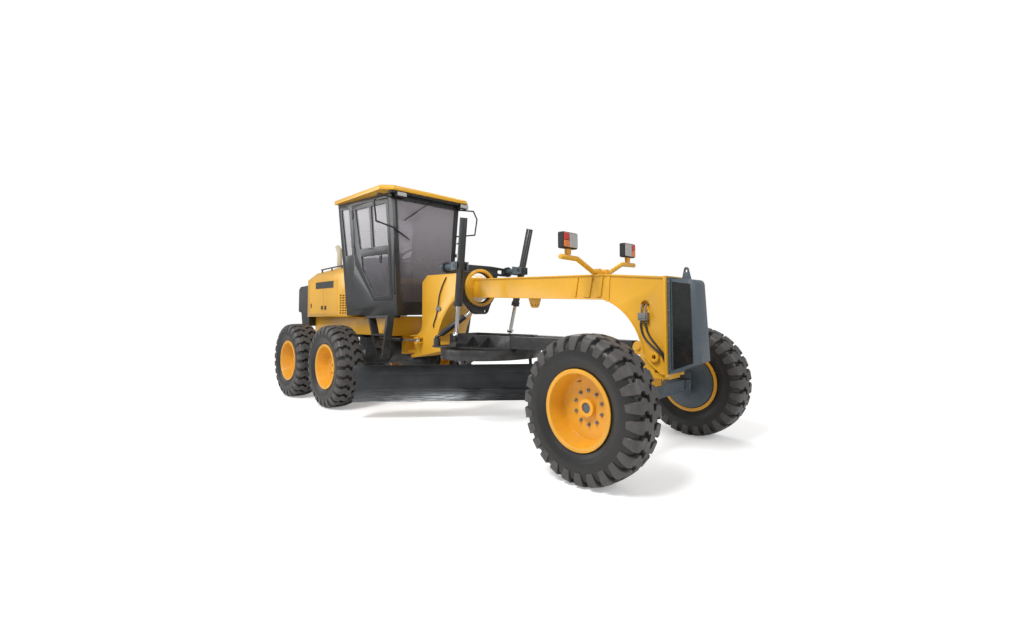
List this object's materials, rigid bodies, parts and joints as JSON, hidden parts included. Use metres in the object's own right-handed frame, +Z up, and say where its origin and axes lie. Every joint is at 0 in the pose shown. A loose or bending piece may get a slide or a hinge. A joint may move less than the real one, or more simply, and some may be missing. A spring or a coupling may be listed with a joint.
{
  "type": "motor grader",
  "caption": "Articulated motor grader with tandem rear wheels, leaning and steered front wheels, glazed cab, drawbar, turning circle and sliding blade moved by cylinders.",
  "frame": {"origin": "on the ground under the middle of the machine with the frame straight", "axes": "+X forward, +Y to the left of the machine, +Z up"},
  "size_m": [8.599, 2.5803, 3.3738],
  "materials": {
    "tyre": "matt",
    "rim_paint": "satin",
    "body_paint": "semi-gloss",
    "cab_paint": "satin",
    "frame_black": "satin",
    "axle_grey": "satin",
    "engine_grey": "painted",
    "blade_steel": "worn",
    "link_steel": "satin",
    "rod_chrome": "polished",
    "glass": "clear",
    "seat_fabric": "woven",
    "dark_plastic": "textured",
    "exhaust_coat": "matt",
    "lamp_lens": "clear lens"
  },
  "bodies": {
    "chassis": {"rear_frame": "body_paint", "rear_axle": "frame_black", "engine_block": "engine_grey", "engine_hood": "body_paint", "radiator_guard": "frame_black", "exhaust_stack": "exhaust_coat", "cab_shell": "cab_paint", "cab_glass": "glass", "cab_roof": "body_paint", "driver_seat": "seat_fabric", "steering_console": "dark_plastic", "cab_ladders": "frame_black", "cab_mirrors": "dark_plastic"},
    "door_left": {"cab_door_left": "cab_paint", "door_glass_left": "glass"},
    "door_right": {"cab_door_right": "cab_paint", "door_glass_right": "glass"},
    "front_frame": {"front_frame": "body_paint", "nose_cover": "axle_grey", "lift_saddle": "frame_black", "lift_yokes": "axle_grey", "lamp_bar": "body_paint", "headlamps": "lamp_lens", "front_axle": "axle_grey"},
    "lean_left": {"lean_knuckle_left": "axle_grey"},
    "lean_right": {"lean_knuckle_right": "axle_grey"},
    "steer_left": {"stub_axle_left": "axle_grey"},
    "steer_right": {"stub_axle_right": "axle_grey"},
    "lean_bar": {"lean_bar": "link_steel"},
    "tie_rod_joint": {"tie_rod_joint": "link_steel"},
    "tie_rod": {"tie_rod": "link_steel"},
    "drawbar": {"drawbar": "frame_black"},
    "circle": {"circle": "frame_black"},
    "blade_carrier": {"blade_carrier": "frame_black"},
    "moldboard": {"moldboard": "blade_steel"},
    "lift_barrel_left": {"lift_barrel_left": "frame_black"},
    "lift_rod_left": {"lift_rod_left": "rod_chrome"},
    "lift_barrel_right": {"lift_barrel_right": "frame_black"},
    "lift_rod_right": {"lift_rod_right": "rod_chrome"},
    "shift_barrel": {"circle_shift_barrel": "frame_black"},
    "shift_rod": {"circle_shift_rod": "rod_chrome"},
    "ram_barrel_left": {"articulation_barrel_left": "frame_black"},
    "ram_rod_left": {"articulation_rod_left": "rod_chrome"},
    "ram_barrel_right": {"articulation_barrel_right": "frame_black"},
    "ram_rod_right": {"articulation_rod_right": "rod_chrome"},
    "wheel_front_left": {"tyre_front_left": "tyre", "rim_front_left": "rim_paint"},
    "wheel_front_right": {"tyre_front_right": "tyre", "rim_front_right": "rim_paint"},
    "wheel_middle_left": {"tyre_middle_left": "tyre", "rim_middle_left": "rim_paint"},
    "wheel_middle_right": {"tyre_middle_right": "tyre", "rim_middle_right": "rim_paint"},
    "wheel_rear_left": {"tyre_rear_left": "tyre", "rim_rear_left": "rim_paint"},
    "wheel_rear_right": {"tyre_rear_right": "tyre", "rim_rear_right": "rim_paint"}
  },
  "joints": [
    {"name": "wheel_middle_left_spin", "type": "hinge", "parent": "chassis", "child": "wheel_middle_left", "pos_m": [-1.336, 1.026, 0.634], "axis": [0, 1, 0], "continuous": true},
    {"name": "wheel_middle_right_spin", "type": "hinge", "parent": "chassis", "child": "wheel_middle_right", "pos_m": [-1.336, -1.026, 0.634], "axis": [0, 1, 0], "continuous": true},
    {"name": "wheel_rear_left_spin", "type": "hinge", "parent": "chassis", "child": "wheel_rear_left", "pos_m": [-2.874, 1.026, 0.634], "axis": [0, 1, 0], "continuous": true},
    {"name": "wheel_rear_right_spin", "type": "hinge", "parent": "chassis", "child": "wheel_rear_right", "pos_m": [-2.874, -1.026, 0.634], "axis": [0, 1, 0], "continuous": true},
    {"name": "door_left_hinge", "type": "hinge", "parent": "chassis", "child": "door_left", "pos_m": [-1.502, 0.65788, 2.4], "axis": [0, 0.0704, 0.9975], "range_deg": [0, 100]},
    {"name": "door_right_hinge", "type": "hinge", "parent": "chassis", "child": "door_right", "pos_m": [-1.502, -0.65788, 2.4], "axis": [0, -0.0704, 0.9975], "range_deg": [-100, 0]},
    {"name": "articulation", "type": "hinge", "parent": "chassis", "child": "front_frame", "pos_m": [-0.545, 0, 0.9], "axis": [0, 0, 1], "range_deg": [-20, 20]},
    {"name": "ram_barrel_left_pivot", "type": "hinge", "parent": "chassis", "child": "ram_barrel_left", "pos_m": [-1.205, 0.375, 1.035], "axis": [0, 0, 1], "range_deg": [-8, 8]},
    {"name": "ram_rod_left_slide", "type": "slide", "parent": "ram_barrel_left", "child": "ram_rod_left", "axis": [0.9981, -0.0612, 0], "range_m": [-0.13, 0.13]},
    {"name": "ram_barrel_right_pivot", "type": "hinge", "parent": "chassis", "child": "ram_barrel_right", "pos_m": [-1.205, -0.375, 1.035], "axis": [0, 0, 1], "range_deg": [-8, 8]},
    {"name": "ram_rod_right_slide", "type": "slide", "parent": "ram_barrel_right", "child": "ram_rod_right", "axis": [0.9981, 0.0612, 0], "range_m": [-0.13, 0.13]},
    {"name": "lean_left", "type": "hinge", "parent": "front_frame", "child": "lean_left", "pos_m": [3.675, 0.684, 0.616], "axis": [1, 0, 0], "range_deg": [-17, 17]},
    {"name": "lean_right", "type": "hinge", "parent": "front_frame", "child": "lean_right", "pos_m": [3.675, -0.684, 0.616], "axis": [1, 0, 0], "range_deg": [-17, 17]},
    {"name": "lean_bar_pivot", "type": "hinge", "parent": "lean_left", "child": "lean_bar", "pos_m": [3.58, 0.684, 0.806], "axis": [1, 0, 0], "range_deg": [-17.5, 17.5]},
    {"name": "steer_left", "type": "hinge", "parent": "lean_left", "child": "steer_left", "pos_m": [3.675, 0.8, 0.616], "axis": [0, 0, 1], "range_deg": [-40, 40]},
    {"name": "wheel_front_left_spin", "type": "hinge", "parent": "steer_left", "child": "wheel_front_left", "pos_m": [3.675, 1.026, 0.634], "axis": [0, 1, 0], "continuous": true},
    {"name": "steer_right", "type": "hinge", "parent": "lean_right", "child": "steer_right", "pos_m": [3.675, -0.8, 0.616], "axis": [0, 0, 1], "range_deg": [-40, 40]},
    {"name": "wheel_front_right_spin", "type": "hinge", "parent": "steer_right", "child": "wheel_front_right", "pos_m": [3.675, -1.026, 0.634], "axis": [0, 1, 0], "continuous": true},
    {"name": "tie_rod_swivel", "type": "hinge", "parent": "steer_left", "child": "tie_rod_joint", "pos_m": [3.445, 0.8, 0.58], "axis": [0, 0, 1], "range_deg": [-40.5, 40.5]},
    {"name": "tie_rod_tilt", "type": "hinge", "parent": "tie_rod_joint", "child": "tie_rod", "pos_m": [3.445, 0.8, 0.612], "axis": [1, 0, 0], "range_deg": [-15.5, 15.5]},
    {"name": "drawbar_lift", "type": "hinge", "parent": "front_frame", "child": "drawbar", "pos_m": [3.595, 0, 1.08], "axis": [0, 1, 0], "range_deg": [-7, 2.5]},
    {"name": "circle_turn", "type": "hinge", "parent": "drawbar", "child": "circle", "pos_m": [1.195, 0, 0.91], "axis": [0, 0, 1], "continuous": true},
    {"name": "blade_tilt", "type": "hinge", "parent": "circle", "child": "blade_carrier", "pos_m": [0.98178, 0.23187, 0.33], "axis": [0.7361, 0.6769, 0], "range_deg": [-5, 40]},
    {"name": "blade_side_shift", "type": "slide", "parent": "blade_carrier", "child": "moldboard", "axis": [-0.7361, -0.6769, 0], "range_m": [-0.5, 0.5]},
    {"name": "lift_barrel_left_pivot", "type": "hinge", "parent": "front_frame", "child": "lift_barrel_left", "pos_m": [1.228, 0.548, 2.055], "axis": [-0.2332, 0.9721, -0.0246], "range_deg": [-4.5, 2]},
    {"name": "lift_rod_left_slide", "type": "slide", "parent": "lift_barrel_left", "child": "lift_rod_left", "axis": [-0.1986, -0.0724, -0.9774], "range_m": [-0.12, 0.32]},
    {"name": "lift_barrel_right_pivot", "type": "hinge", "parent": "front_frame", "child": "lift_barrel_right", "pos_m": [1.228, -0.548, 2.055], "axis": [0.2332, 0.9721, 0.0246], "range_deg": [-4.5, 2]},
    {"name": "lift_rod_right_slide", "type": "slide", "parent": "lift_barrel_right", "child": "lift_rod_right", "axis": [-0.1986, 0.0724, -0.9774], "range_m": [-0.12, 0.32]},
    {"name": "shift_barrel_pivot", "type": "hinge", "parent": "drawbar", "child": "shift_barrel", "pos_m": [0.595, -0.472, 1.111], "axis": [-0.982, 0.109, -0.154], "range_deg": [-22, 8.5]},
    {"name": "shift_rod_slide", "type": "slide", "parent": "shift_barrel", "child": "shift_rod", "axis": [0.4277, 0.6742, 0.6021], "range_m": [-0.09, 0.25]}
  ],
  "couplings": [
    {"joint": "ram_barrel_left_pivot", "follows": "articulation", "ratio": 0.3583},
    {"joint": "ram_rod_left_slide", "follows": "articulation", "m_per_rad": -0.3324},
    {"joint": "ram_barrel_right_pivot", "follows": "articulation", "ratio": 0.3583},
    {"joint": "ram_rod_right_slide", "follows": "articulation", "m_per_rad": 0.3324},
    {"joint": "lean_right", "follows": "lean_left", "ratio": 1},
    {"joint": "lean_bar_pivot", "follows": "lean_left", "ratio": -1},
    {"joint": "steer_right", "follows": "steer_left", "ratio": 1},
    {"joint": "tie_rod_swivel", "follows": "steer_left", "ratio": -1},
    {"joint": "tie_rod_tilt", "follows": "lean_left", "ratio": -0.855},
    {"joint": "lift_barrel_left_pivot", "follows": "drawbar_lift", "ratio": 0.5169},
    {"joint": "lift_rod_left_slide", "follows": "drawbar_lift", "m_per_rad": -2.493},
    {"joint": "lift_barrel_right_pivot", "follows": "drawbar_lift", "ratio": 0.5169},
    {"joint": "lift_rod_right_slide", "follows": "drawbar_lift", "m_per_rad": -2.493},
    {"joint": "shift_barrel_pivot", "follows": "drawbar_lift", "ratio": 2.9657},
    {"joint": "shift_rod_slide", "follows": "drawbar_lift", "m_per_rad": -1.9895}
  ]
}
